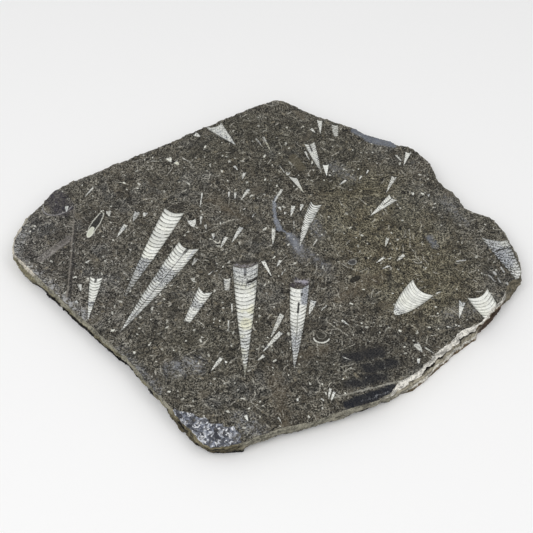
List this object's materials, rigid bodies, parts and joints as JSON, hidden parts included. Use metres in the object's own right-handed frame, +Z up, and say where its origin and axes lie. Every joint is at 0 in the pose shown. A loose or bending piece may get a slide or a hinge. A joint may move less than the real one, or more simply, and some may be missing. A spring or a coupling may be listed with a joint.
{
  "type": "orthoceras fossil slab",
  "caption": "Flat polished slab of dark fossil limestone with broken sides, showing pale chambered orthoceras cones in its face.",
  "frame": {"origin": "middle of the slab's box on its underside", "axes": "+X along the slab's longest side to side reach, +Y from the front edge to the far apex, +Z up through the polished face"},
  "size_m": [0.4399, 0.3791, 0.016],
  "materials": {
    "fossil_limestone": "polished face with pale fossils, rough broken sides, sawn underside"
  },
  "bodies": {
    "root": {"fossil_slab": "fossil_limestone"}
  },
  "joints": []
}
